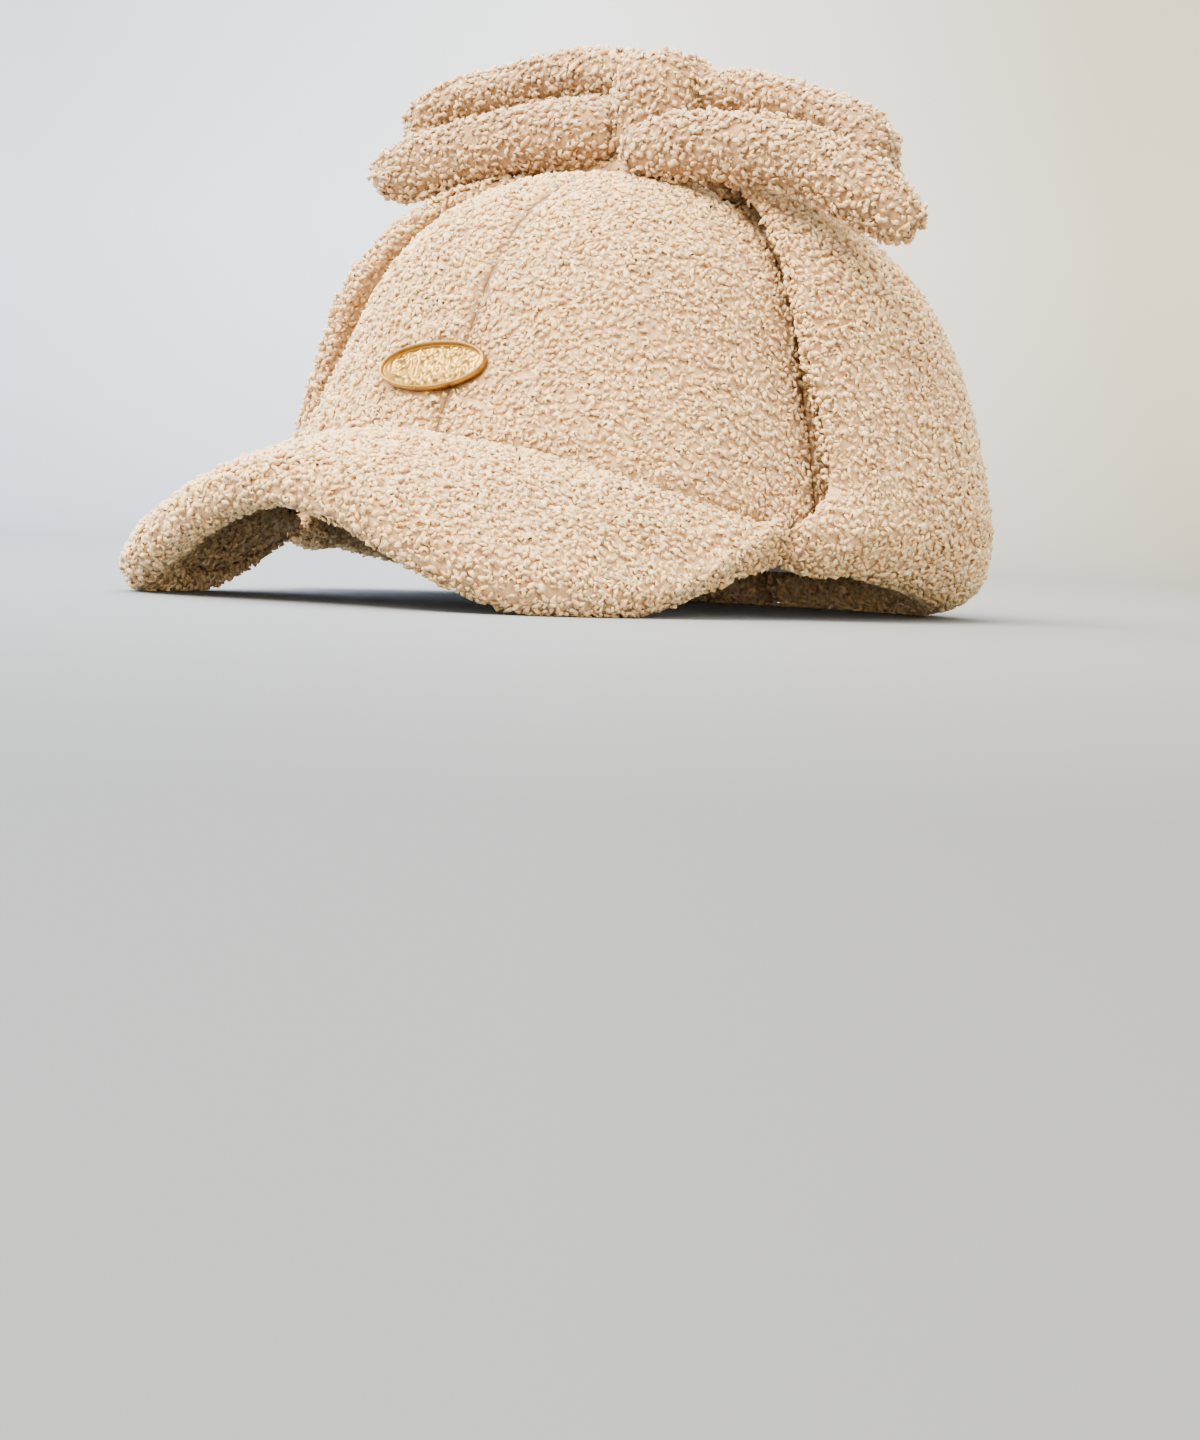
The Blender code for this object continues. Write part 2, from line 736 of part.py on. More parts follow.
fleece = material("teddy_fleece", (0.78, 0.64, 0.48), 0.95)
lining = material("white_sweatband_cloth", (0.86, 0.87, 0.88), 0.9)
gilt = material("gilt_badge_metal", (0.83, 0.62, 0.27), 0.28, 1.0)

pieces = {}
pieces["crown_front_left"] = (crown_panel(0.0, SIDE_SEAM), fleece)
pieces["crown_front_right"] = (crown_panel(-SIDE_SEAM, 0.0), fleece)
pieces["crown_back_left"] = (crown_panel(SIDE_SEAM, 180.0), fleece)
pieces["crown_back_right"] = (crown_panel(-180.0, -SIDE_SEAM), fleece)
pieces["peak_top"] = (peak_cover(), fleece)
pieces["peak_underside"] = (peak_lower(), fleece)
pieces["sweatband"] = (sweatband(), lining)
pieces["earflap_left"] = (flap(1.0, FLAP_FRONT_STAND_LEFT), fleece)
pieces["earflap_right"] = (flap(-1.0, FLAP_FRONT_STAND_RIGHT), fleece)

knot_centre = (KNOT_OFFSET, 0.0, CROWN_HEIGHT + TIE_THICKNESS + 2.0 * PIECE_GAP + 0.5 * KNOT_HEIGHT)
pieces["bow_knot"] = (knot(knot_centre), fleece)
for side, word, loop_rows, loop_reach, tail_rows, tail_reach in (
    (1.0, "left", LOOP_LEFT, LOOP_LEFT_REACH, TAIL_LEFT, TAIL_LEFT_REACH),
    (-1.0, "right", LOOP_RIGHT, LOOP_RIGHT_REACH, TAIL_RIGHT, TAIL_RIGHT_REACH),
):
    loop_size = (LOOP_WIDTH, LOOP_DEPTH)
    loop = along_curve(strand_points(loop_rows, loop_reach, side, loop_size), 26)
    pieces["bow_loop_" + word] = (tube(loop, *loop_size, end=(1.0,)), fleece)
    tail_size = (TAIL_WIDTH, TAIL_DEPTH)
    tail = along_curve(strand_points(tail_rows, tail_reach, side, tail_size), 14)
    blunt = (0.6, 0.88) if tail_rows[0][0] < 0.0 else (0.8,)
    pieces["bow_tail_" + word] = (tube(tail, *tail_size, start=blunt), fleece)
    flap_tips = pieces["earflap_" + word][0][0]
    near = flap_tips[(np.abs(flap_tips[:, 1]) < TIE_WIDTH) & (flap_tips[:, 2] > 0.8 * FLAP_HEIGHT)]
    tie_start = np.abs(near[:, 0]).min() - PIECE_GAP
    pieces["tie_" + word] = (tie(side, tie_start), fleece)
pieces["badge"] = (placed_badge(), gilt)

front_points = pieces["peak_top"][0][0]
flap_points = pieces["earflap_left"][0][0]
lean_angle = resting_lean(front_points, flap_points[flap_points[:, 1] > 0.0])
lowest = leaned(front_points, lean_angle)[:, 2].min()
settled = {}
for name, ((points, faces), finish) in pieces.items():
    settled[name] = leaned(points, lean_angle)
    settled[name][:, 2] = np.maximum(settled[name][:, 2] - lowest - FLOOR_PRESS, 0.0)

every_point = np.concatenate(list(settled.values()))
plan_centre = 0.5 * (every_point.min(axis=0) + every_point.max(axis=0))
plan_centre[2] = 0.0
for name, ((points, faces), finish) in pieces.items():
    build_object(name, (settled[name] - plan_centre, faces), finish)
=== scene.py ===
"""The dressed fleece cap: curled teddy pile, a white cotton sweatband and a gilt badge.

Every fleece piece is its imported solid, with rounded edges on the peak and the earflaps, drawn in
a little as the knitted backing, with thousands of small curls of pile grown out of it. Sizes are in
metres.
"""

import math
from collections import namedtuple

import bmesh
import bpy
import numpy as np
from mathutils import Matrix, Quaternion, Vector, noise
from mathutils.bvhtree import BVHTree
from mathutils.kdtree import KDTree


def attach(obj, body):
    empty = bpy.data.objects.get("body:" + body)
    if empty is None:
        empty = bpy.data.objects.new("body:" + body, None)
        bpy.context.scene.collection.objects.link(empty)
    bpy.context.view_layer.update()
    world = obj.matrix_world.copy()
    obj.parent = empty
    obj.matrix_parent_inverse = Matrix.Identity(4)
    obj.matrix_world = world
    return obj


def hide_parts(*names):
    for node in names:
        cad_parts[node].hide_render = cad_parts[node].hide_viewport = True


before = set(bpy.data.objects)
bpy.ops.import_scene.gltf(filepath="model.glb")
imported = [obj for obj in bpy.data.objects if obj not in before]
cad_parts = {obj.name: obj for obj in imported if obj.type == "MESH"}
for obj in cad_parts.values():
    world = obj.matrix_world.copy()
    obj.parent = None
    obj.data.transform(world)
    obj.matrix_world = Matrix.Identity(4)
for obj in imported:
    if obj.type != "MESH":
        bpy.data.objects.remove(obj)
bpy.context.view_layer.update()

MM = 0.001

# Pile of each kind of cloth: how far apart its curls are rooted, how large they are beside the
# usual curl, and how far they stand up beside those of the bow
Pile = namedtuple("Pile", "pitch scale raised")
PANEL_PILE = Pile(2.05 * MM, 1.0, 0.62)
FLAP_PILE = Pile(2.15 * MM, 1.0, 0.5)
UNDER_PILE = Pile(2.25 * MM, 1.0, 0.62)
BOW_PILE = Pile(2.15 * MM, 1.05, 1.0)

FLEECE_PIECES = {
    "crown_front_left": PANEL_PILE,
    "crown_front_right": PANEL_PILE,
    "crown_back_left": PANEL_PILE,
    "crown_back_right": PANEL_PILE,
    "peak_top": PANEL_PILE,
    "peak_underside": UNDER_PILE,
    "earflap_left": FLAP_PILE,
    "earflap_right": FLAP_PILE,
    "tie_left": UNDER_PILE,
    "tie_right": UNDER_PILE,
    "bow_knot": BOW_PILE,
    "bow_loop_left": BOW_PILE,
    "bow_loop_right": BOW_PILE,
    "bow_tail_left": BOW_PILE,
    "bow_tail_right": BOW_PILE,
}
FIRST_SEED = 11

# One curl: an open loop of soft yarn. Each pair is the least and the most; angles are in degrees.
# The yarn's taper is a share of its radius at each share of its length
LOOP_RADIUS = (0.70 * MM, 1.20 * MM)
LOOP_TURN = (160.0, 310.0)
LOOP_START = 0.75
LOOP_GROWTH = 0.45
LOOP_LENGTH = 1.0 * MM
LOOP_WANDER = 0.2 * MM
CURL_LEAN = (5.0, 80.0)
CURL_LIFT = 0.6 * MM
CURL_DIP = 0.4 * MM
PILE_RISE = (1.0 * MM, 2.3 * MM)
YARN_RADIUS = (0.74 * MM, 1.10 * MM)
YARN_TAPER = ((0.0, 0.55), (0.2, 1.0), (0.7, 0.95), (1.0, 0.5))
RING_GIRTH = (0.85, 1.15)
CORNER_GIRTH = (0.88, 1.12)
CURL_RINGS = 5
CURL_SIDES = 3
CURL_POINTS = CURL_RINGS * CURL_SIDES
RING_SHARES = np.linspace(0.0, 1.0, CURL_RINGS)

# The pile's painted shade: from CURL_ROOT, under the cloth's surface, it lightens over PILE_DEPTH.
# Its tint, 0 to 1, is painted paler on short pile, which shows more of its lit tips, and darker, as
# shade, on tall pile
CURL_ROOT = -1.0 * MM
PILE_DEPTH = 3.2 * MM
PALEST_TINT = 1.1
TALL_PILE_SHADE = 0.78
TINT_SPREAD = 0.15
BACKING_TINT = 0.3

# The backing: drawn in from the solid where no NEIGHBOUR is near, plumped on the bow, and sunk
# into the pile under the knot. A normal's height or turn picks the underside and the lining
BACKING_INSET = 0.2 * MM
BOW_PLUMP = 0.7 * MM
KNOT_PLUMP = 1.9 * MM
KNOT_SINK = 2.6 * MM
KNOT_UNDERSIDE = -0.3
LINING_FACING = -0.35
FLOOR_CLEAR = 0.15 * MM
NEIGHBOUR = 1.2 * MM
CROWN_MIDDLE = np.array((0.0, 0.02, 0.06))

# Seams: the pile gets lower from SEAM_LOW away from the next piece, has no curls from SEAM_BARE,
# and SEAM_GAP is what the solids leave open. At the seam it is flatter, and darker with painted
# shade, by these shares
SEAM_LOW = 4.2 * MM
SEAM_BARE = 0.7 * MM
SEAM_GAP = 0.3 * MM
SEAM_FLAT = 0.85
SEAM_PAINTED_SHADE = 0.8
BARE_SHARE = (SEAM_LOW - SEAM_BARE) / (SEAM_LOW - SEAM_GAP)

# Where curls are rooted: tries for each square of the pitch, how near two roots may come as a
# share of the pitch, how near counts as touching, and how far a look outward has to be clear.
# NEAR_FACES are the faces that a curl's normal is smoothed over, but for those that face away
TRIES_PER_CURL = 5.0
ROOT_APART = 0.8
TOUCH = 0.45 * MM
JUST_OFF = 0.01 * MM
LOOK_FROM = 1.2 * MM
LOOK_COUNT = 26
LOOK_GRAZING = 0.15
OPEN_AIR = 0.25
NEAR_FACES = 10
FACING_ALIKE = 0.2
FACING_AWAY = -0.2

# Badge: its rim, its field's height and relief as shares of its thickness, and the size of the
# cast pattern's lumps, which fade out at the field's border
BADGE_RIM = 1.3 * MM
RIM_TO_FIELD = 1.2
FIELD_LOW = 0.52
FIELD_RELIEF = 0.32
RELIEF_ACROSS = 1.15 * MM
RELIEF_UP = 1.9 * MM
RELIEF_SLICE = 3.7
RELIEF_CONTRAST = 1.1
BORDER_FADE = 5.0
FIELD_COLUMNS, FIELD_ROWS = 110, 48
# Inset from the edge as a share of the rim, and height over the back as a share of the thickness
RIM_PROFILE = (
    (0.00, 0.00),
    (0.00, 0.55),
    (0.06, 0.80),
    (0.20, 0.96),
    (0.40, 1.00),
    (0.66, 0.97),
    (0.82, 0.80),
    (0.90, 0.55),
    (1.05, 0.48),
)

# The paper that the cap stands on: flat, then swept up behind it, square to the camera
PAPER_TURN = 34.9
PAPER_HALF = 3.5
PAPER_FLAT = 0.9
PAPER_BEND = 1.0
PAPER_RISE = 3.0
PAPER_STEPS = 12

# Camera: the photograph's angle to the cap, raised by 1.4 degrees so that it stands over the floor
CAMERA_AT = (0.8198, -1.1731, 0.0365)
CAMERA_TARGET = (0.0030, 0.0228, -0.0362)
CAMERA_ROLL = 2.5
FOCAL_PIXELS = 4600.0
IMAGE_HEIGHT = 1440.0
SENSOR = 36.0
NEAREST_SEEN = 0.05

# Square soft lights: name, place, target, width in metres, watts and colour
CAP_MIDDLE = (0.0, 0.0, 0.09)
LIGHTS = (
    ("key", (-0.15, -1.20, 1.70), CAP_MIDDLE, 1.4, 175.0, "#FFF3E0"),
    ("fill", (1.7, -0.7, 0.7), CAP_MIDDLE, 1.2, 30.0, "#FFEFD4"),
    ("back", (-0.4, 0.9, 1.5), CAP_MIDDLE, 1.0, 40.0, "#F4F7FF"),
    ("side", (-1.5, 0.1, 0.6), CAP_MIDDLE, 1.1, 62.0, "#CFE0FF"),
    ("low", (0.95, -1.35, 0.16), (0.0, -0.05, 0.03), 0.3, 9.0, "#FFF6EA"),
)
WINDOW_WAY = (-0.60, 0.10, 0.79)


def linear(colour):
    """An sRGB hex colour as linear red, green, blue and alpha."""
    made = []
    for start in (1, 3, 5):
        share = int(colour[start : start + 2], 16) / 255.0
        made.append(share / 12.92 if share <= 0.04045 else ((share + 0.055) / 1.055) ** 2.4)
    return (*made, 1.0)


def new_material(name):
    """A material with nothing but its Principled shader; returns both."""
    made = bpy.data.materials.new(name)
    made.use_nodes = True
    return made, made.node_tree.nodes["Principled BSDF"]


def add_node(tree, kind, settings=None, **links):
    """Adds a node: settings for its properties, links for its sockets.

    A link's value is another node's socket or a plain value. S0 and the like are socket numbers.
    """
    node = tree.nodes.new(kind)
    for name, value in (settings or {}).items():
        setattr(node, name, value)
    for name, value in links.items():
        socket = node.inputs[int(name[1:]) if name[1:].isdigit() else name.replace("_", " ")]
        if isinstance(value, bpy.types.NodeSocket):
            tree.links.new(value, socket)
        else:
            socket.default_value = value
    return node


def set_ramp(node, stops):
    """Gives a colour ramp its stops: place and hex colour."""
    ramp = node.color_ramp
    while len(ramp.elements) > 1:
        ramp.elements.remove(ramp.elements[-1])
    ramp.elements[0].position = stops[0][0]
    ramp.elements[0].color = linear(stops[0][1])
    for place, colour in stops[1:]:
        ramp.elements.new(place).color = linear(colour)


def bands(spacing):
    """The scale for a wave texture's straight bands this far apart: it has 20 radians to a unit."""
    return math.tau / (20.0 * spacing)


def teddy_fleece():
    """Teddy fleece: brushed and curled polyester pile, matt, with a soft sheen at grazing light.

    Painted shade makes the roots browner and darker than the tips, and the seams darker; each curl
    has its own tint.
    """
    made, shader = new_material("teddy_fleece_curled_polyester")
    tree = made.node_tree
    multiply = {"data_type": "RGBA", "blend_type": "MULTIPLY"}
    tint = add_node(tree, "ShaderNodeAttribute", {"attribute_name": "curl_tint"})
    height = add_node(tree, "ShaderNodeAttribute", {"attribute_name": "pile_painted_shade"})
    place = add_node(tree, "ShaderNodeTexCoord")
    curl_colour = add_node(tree, "ShaderNodeValToRGB", S0=tint.outputs["Fac"])
    set_ramp(curl_colour, [(0.0, "#D2B38B"), (0.35, "#E0C49C"), (0.7, "#F7D197"), (1.0, "#FFE2B2")])
    # Painted shade: darkest at the roots and at seams and contacts, white at the tips
    painted_depth_shade = add_node(tree, "ShaderNodeValToRGB", S0=height.outputs["Fac"])
    painted_root_shade = [(0.0, "#83735F"), (0.12, "#BCAF9D"), (0.26, "#D2CABF")]
    painted_root_shade += [(0.55, "#F4F1EC"), (0.85, "#FFFFFF")]
    set_ramp(painted_depth_shade, painted_root_shade)
    toned = add_node(
        tree,
        "ShaderNodeMix",
        multiply,
        S0=1.0,
        S6=curl_colour.outputs["Color"],
        S7=painted_depth_shade.outputs["Color"],
    )
    # Patches about 36 mm across, 28 to the metre, where the pile lies warmer or greyer
    patches = add_node(
        tree, "ShaderNodeTexNoise", None, Vector=place.outputs["Object"], Scale=28.0, Detail=2.0
    )
    patch_colour = add_node(tree, "ShaderNodeValToRGB", S0=patches.outputs["Fac"])
    set_ramp(patch_colour, [(0.3, "#F7F1EC"), (0.7, "#FFF8EC")])
    patched = add_node(
        tree,
        "ShaderNodeMix",
        multiply,
        S0=0.8,
        S6=toned.outputs[2],
        S7=patch_colour.outputs["Color"],
    )
    # Clumps of pile, 2.4 mm across, with painted shade in the hollows between them, which shows
    # most on the backing between the curls
    clumps = add_node(
        tree,
        "ShaderNodeTexNoise",
        None,
        Vector=place.outputs["Object"],
        Scale=1.0 / (2.4 * MM),
        Detail=1.5,
        Roughness=0.6,
    )
    clump_hollow_shade = add_node(tree, "ShaderNodeValToRGB", S0=clumps.outputs["Fac"])
    set_ramp(clump_hollow_shade, [(0.34, "#CDB9A0"), (0.5, "#EFE3D4"), (0.62, "#FFFFFF")])
    hollow_shaded = add_node(
        tree,
        "ShaderNodeMix",
        multiply,
        S0=0.75,
        S6=patched.outputs[2],
        S7=clump_hollow_shade.outputs["Color"],
    )
    tree.links.new(hollow_shaded.outputs[2], shader.inputs["Base Color"])
    # Crimped fibres are 0.02 mm thick, too fine to show: drawn as strands 0.55 mm apart
    fibres = add_node(
        tree,
        "ShaderNodeTexNoise",
        None,
        Vector=place.outputs["Object"],
        Scale=1.0 / (0.55 * MM),
        Detail=3.0,
        Roughness=0.65,
    )
    crimped = add_node(
        tree, "ShaderNodeBump", None, Strength=0.65, Distance=0.4 * MM, Height=fibres.outputs["Fac"]
    )
    nubbed = add_node(
        tree,
        "ShaderNodeBump",
        None,
        Strength=0.6,
        Distance=1.0 * MM,
        Height=clumps.outputs["Fac"],
        Normal=crimped.outputs["Normal"],
    )
    tree.links.new(nubbed.outputs["Normal"], shader.inputs["Normal"])
    shader.inputs["Roughness"].default_value = 0.92
    shader.inputs["Specular IOR Level"].default_value = 0.25
    shader.inputs["Subsurface Weight"].default_value = 0.45
    shader.inputs["Subsurface Radius"].default_value = (1.0, 0.9, 0.8)
    shader.inputs["Subsurface Scale"].default_value = 2.0 * MM
    shader.inputs["Sheen Weight"].default_value = 0.12
    shader.inputs["Sheen Roughness"].default_value = 0.45
    shader.inputs["Sheen Tint"].default_value = linear("#F6E8D6")
    return made


def lining_knit():
    """Knitted backing inside the crown: flat, fine-ribbed polyester, darker than the pile."""
    made, shader = new_material("knitted_polyester_backing")
    tree = made.node_tree
    place = add_node(tree, "ShaderNodeTexCoord")
    # Wales 1.1 mm apart
    wales = add_node(
        tree,
        "ShaderNodeTexWave",
        {"bands_direction": "X"},
        Vector=place.outputs["Object"],
        Scale=bands(1.1 * MM),
        Distortion=1.5,
        Detail=1.0,
    )
    shade = add_node(tree, "ShaderNodeValToRGB", S0=wales.outputs["Fac"])
    set_ramp(shade, [(0.0, "#CDB496"), (1.0, "#DDC7AB")])
    tree.links.new(shade.outputs["Color"], shader.inputs["Base Color"])
    ribbed = add_node(
        tree, "ShaderNodeBump", None, Strength=0.4, Distance=0.3 * MM, Height=wales.outputs["Fac"]
    )
    tree.links.new(ribbed.outputs["Normal"], shader.inputs["Normal"])
    shader.inputs["Roughness"].default_value = 0.95
    return made


def sweatband_cloth():
    """White woven cotton twill of the sweatband: matt, with a fine diagonal rib."""
    made, shader = new_material("white_cotton_twill")
    tree = made.node_tree
    place = add_node(tree, "ShaderNodeTexCoord")
    # Twill ribs about 1 mm apart: diagonal bands lie a little wider than straight ones of 0.9 mm
    ribs = add_node(
        tree,
        "ShaderNodeTexWave",
        {"bands_direction": "DIAGONAL"},
        Vector=place.outputs["Object"],
        Scale=bands(0.9 * MM),
        Distortion=0.6,
        Detail=1.0,
    )
    # Uneven white, in marks about 17 mm across, 60 to the metre
    marks = add_node(
        tree, "ShaderNodeTexNoise", None, Vector=place.outputs["Object"], Scale=60.0, Detail=3.0
    )
    shade = add_node(tree, "ShaderNodeValToRGB", S0=marks.outputs["Fac"])
    set_ramp(shade, [(0.3, "#E3E4E6"), (0.7, "#F1F1F2")])
    tree.links.new(shade.outputs["Color"], shader.inputs["Base Color"])
    ribbed = add_node(
        tree, "ShaderNodeBump", None, Strength=0.35, Distance=0.15 * MM, Height=ribs.outputs["Fac"]
    )
    tree.links.new(ribbed.outputs["Normal"], shader.inputs["Normal"])
    shader.inputs["Roughness"].default_value = 0.88
    return made


def gilt_metal():
    """Gilt zinc casting: gold plating, polished, with faint wear in its gloss and its colour."""
    made, shader = new_material("polished_gilt_zinc")
    tree = made.node_tree
    place = add_node(tree, "ShaderNodeTexCoord")
    # Wear in patches 3 mm across
    wear = add_node(
        tree,
        "ShaderNodeTexNoise",
        None,
        Vector=place.outputs["Object"],
        Scale=1.0 / (3.0 * MM),
        Detail=4.0,
    )
    gloss = add_node(
        tree,
        "ShaderNodeMapRange",
        None,
        Value=wear.outputs["Fac"],
        From_Min=0.3,
        From_Max=0.7,
        To_Min=0.26,
        To_Max=0.4,
    )
    tree.links.new(gloss.outputs["Result"], shader.inputs["Roughness"])
    shade = add_node(tree, "ShaderNodeValToRGB", S0=wear.outputs["Fac"])
    set_ramp(shade, [(0.3, "#9C7733"), (0.7, "#AC8643")])
    tree.links.new(shade.outputs["Color"], shader.inputs["Base Color"])
    shader.inputs["Metallic"].default_value = 1.0
    return made


def unit(vectors):
    """Vectors brought to a length of 1 along their last direction."""
    return vectors / np.maximum(np.linalg.norm(vectors, axis=-1, keepdims=True), 1e-12)


def node_arrays(node):
    """A CAD node's welded points and triangles."""
    work = bmesh.new()
    work.from_mesh(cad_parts[node].data)
    bmesh.ops.remove_doubles(work, verts=work.verts, dist=0.02 * MM)
    bmesh.ops.dissolve_degenerate(work, edges=work.edges, dist=0.01 * MM)
    bmesh.ops.triangulate(work, faces=work.faces)
    work.verts.ensure_lookup_table()
    work.verts.index_update()
    points = np.array([vertex.co for vertex in work.verts])
    faces = np.array([[vertex.index for vertex in face.verts] for face in work.faces])
    work.free()
    return points, faces


def face_normals(points, faces):
    """Unit normals and areas of triangles."""
    a, b, c = (points[faces[:, corner]] for corner in range(3))
    cross = np.cross(b - a, c - a)
    length = np.linalg.norm(cross, axis=1)
    return cross / np.maximum(length, 1e-15)[:, None], 0.5 * length


def mesh_tree(meshes):
    """A search tree over the faces of one or more meshes."""
    points, faces, start = [], [], 0
    for some_points, some_faces in meshes:
        points.append(some_points)
        faces.append(some_faces + start)
        start += len(some_points)
    return BVHTree.FromPolygons(np.concatenate(points).tolist(), np.concatenate(faces).tolist())


def point_tree(points):
    """A search tree over points."""
    tree = KDTree(len(points))
    for index, point in enumerate(points):
        tree.insert(point, index)
    tree.balance()
    return tree


def spread_roots(points, faces, pitch, rng):
    """Places about a pitch apart on a surface, as positions and face numbers."""
    normals, areas = face_normals(points, faces)
    tries = int(areas.sum() / (pitch * pitch) * TRIES_PER_CURL)
    chosen = rng.choice(len(faces), size=tries, p=areas / areas.sum())
    first, second = rng.random((2, tries))
    over = first + second > 1.0
    first[over], second[over] = 1.0 - first[over], 1.0 - second[over]
    a, b, c = (points[faces[chosen, corner]] for corner in range(3))
    places = a + (b - a) * first[:, None] + (c - a) * second[:, None]
    found = point_tree(places)
    alive = np.ones(tries, dtype=bool)
    kept = []
    for index in range(tries):
        if not alive[index]:
            continue
        kept.append(index)
        for _, other, _ in found.find_range(places[index], ROOT_APART * pitch):
            if normals[chosen[other]].dot(normals[chosen[index]]) > FACING_ALIKE:
                alive[other] = False
    return places[kept], chosen[kept]


def look_directions(count):
    """Directions spread evenly over a sphere."""
    steps = np.arange(count) + 0.5
    rise = 1.0 - 2.0 * steps / count
    turn = math.pi * (1.0 + math.sqrt(5.0)) * steps
    flat = np.sqrt(1.0 - rise * rise)
    return np.stack([flat * np.cos(turn), flat * np.sin(turn), rise], axis=1)


LOOKS = look_directions(LOOK_COUNT)


def sees_out(place, normal, solids):
    """Whether light from outside reaches a place on the surface."""
    start = Vector(place + normal * LOOK_FROM)
    for look in LOOKS:
        if look.dot(normal) < LOOK_GRAZING:
            continue
        if solids.ray_cast(start, Vector(look), OPEN_AIR)[0] is None:
            return True
    return False


def smooth_normals(points, faces, places, chosen):
    """Normals at places on a mesh, smoothed over the nearest faces.

    Curls then lean round the mesh's edges by degrees.
    """
    normals, areas = face_normals(points, faces)
    found = point_tree(points[faces].mean(axis=1))
    made = np.zeros_like(places)
    for index, place in enumerate(places):
        own = normals[chosen[index]]
        total = own * 1e-9
        for _, other, _ in found.find_n(place, NEAR_FACES):
            if normals[other].dot(own) > FACING_AWAY:
                total = total + normals[other] * areas[other]
        made[index] = total / np.linalg.norm(total)
    return made


def curl_paths(places, normals, low, rng, pile):
    """Each curl's middle line, the way that it winds round and its yarn's radius.

    A line is a few turns of an opening spiral that leans off the cloth, flattened to the height
    of the pile there. low is 0 for full pile and 1 at a seam.
    """
    count = len(places)
    helper = np.where(np.abs(normals[:, 2:3]) < 0.8, (0.0, 0.0, 1.0), (1.0, 0.0, 0.0))
    across = unit(np.cross(normals, helper))
    along = np.cross(normals, across)
    heading = rng.uniform(0.0, math.tau, count)
    lie = across * np.cos(heading)[:, None] + along * np.sin(heading)[:, None]
    lean = np.radians(rng.uniform(*CURL_LEAN, count))
    axis = normals * np.cos(lean)[:, None] + lie * np.sin(lean)[:, None]
    first = unit(np.cross(axis, lie))
    second = np.cross(axis, first)
    radius = rng.uniform(*LOOP_RADIUS, count) * pile.scale
    turn = np.radians(rng.uniform(*LOOP_TURN, count))
    start = rng.uniform(0.0, math.tau, count)
    thick = rng.uniform(*YARN_RADIUS, count) * pile.scale
    rise = rng.uniform(*PILE_RISE, count) * pile.scale * pile.raised * (1.0 - SEAM_FLAT * low)
    angle = start[:, None] + turn[:, None] * RING_SHARES
    spiral = radius[:, None] * (LOOP_START + LOOP_GROWTH * RING_SHARES)
    line = (
        first[:, None] * (spiral * np.cos(angle))[..., None]
        + second[:, None] * (spiral * np.sin(angle))[..., None]
        + axis[:, None] * ((RING_SHARES - 0.5) * LOOP_LENGTH)[:, None]
    )
    line += rng.normal(0.0, LOOP_WANDER, line.shape)
    height = np.einsum("nkc,nc->nk", line, normals)
    flat = line - height[..., None] * normals[:, None]
    lowest = height.min(axis=1)
    squeeze = np.minimum(1.0, rise / np.maximum(height.max(axis=1) - lowest, 1e-6))
    lift = rng.uniform(0.0, CURL_LIFT, count) * pile.raised * (1.0 - low)
    height = (height - lowest[:, None]) * squeeze[:, None] - CURL_DIP + lift[:, None]
    return flat + height[..., None] * normals[:, None] + places[:, None], axis, thick


def curl_faces(count):
    """Faces of so many curls: four-sided ones along the yarn, then a cap at each end."""
    sides = []
    for ring in range(0, CURL_POINTS - CURL_SIDES, CURL_SIDES):
        for step in range(CURL_SIDES):
            after = (step + 1) % CURL_SIDES
            higher = ring + CURL_SIDES
            sides.append((ring + step, ring + after, higher + after, higher + step))
    first_cap = tuple(range(CURL_SIDES))[::-1]
    last_cap = tuple(range(CURL_POINTS - CURL_SIDES, CURL_POINTS))
    starts = np.arange(count) * CURL_POINTS
    faces = []
    for pattern in (sides, (first_cap, last_cap)):
        copies = np.array(pattern)[None] + starts[:, None, None]
        faces += copies.reshape(-1, copies.shape[2]).tolist()
    return faces


def grow_curls(places, normals, low, rng, pile):
    """Curls of pile rooted at places: their points and faces, and each point's tint and painted
    shade.
    """
    count = len(places)
    line, axis, thick = curl_paths(places, normals, low, rng, pile)
    ahead = unit(np.gradient(line, axis=1))
    # The small shift gives a line that runs along its own axis a side as well
    side = unit(np.cross(ahead, axis[:, None] + 0.01))
    over = np.cross(ahead, side)
    taper = np.interp(RING_SHARES, *zip(*YARN_TAPER))
    girth = thick[:, None] * taper * rng.uniform(*RING_GIRTH, (count, CURL_RINGS))
    spin = np.linspace(0.0, math.tau, CURL_SIDES, endpoint=False)[:, None]
    corners = side[:, :, None] * np.cos(spin) + over[:, :, None] * np.sin(spin)
    uneven = girth[..., None] * rng.uniform(*CORNER_GIRTH, (count, CURL_RINGS, CURL_SIDES))
    points = line[:, :, None] + corners * uneven[..., None]
    above = np.einsum("nksc,nc->nks", points - places[:, None, None], normals)
    # Painted shade: darker toward the roots, and darker still at seams and contacts
    shade = (1.0 - pile.raised) + (above - CURL_ROOT) / (PILE_DEPTH * pile.raised)
    shade = np.clip(shade, 0.0, 1.0) * (1.0 - SEAM_PAINTED_SHADE * low[:, None, None])
    # Each curl's own tint spreads round a mean painted darker on tall pile and paler on short pile
    tint = np.clip(rng.normal(PALEST_TINT - TALL_PILE_SHADE * pile.raised, TINT_SPREAD, count), 0.0, 1.0)
    return points.reshape(-1, 3), curl_faces(count), np.repeat(tint, CURL_POINTS), shade.reshape(-1)


def swell(node, normals):
    """How far the bow and the ties stand out from their solids; the knot also sinks below."""
    if not node.startswith(("bow", "tie")):
        return np.zeros_like(normals)
    if node != "bow_knot":
        return normals * BOW_PLUMP
    shift = normals * KNOT_PLUMP
    shift[normals[:, 2] < KNOT_UNDERSIDE, 2] -= KNOT_SINK
    return shift


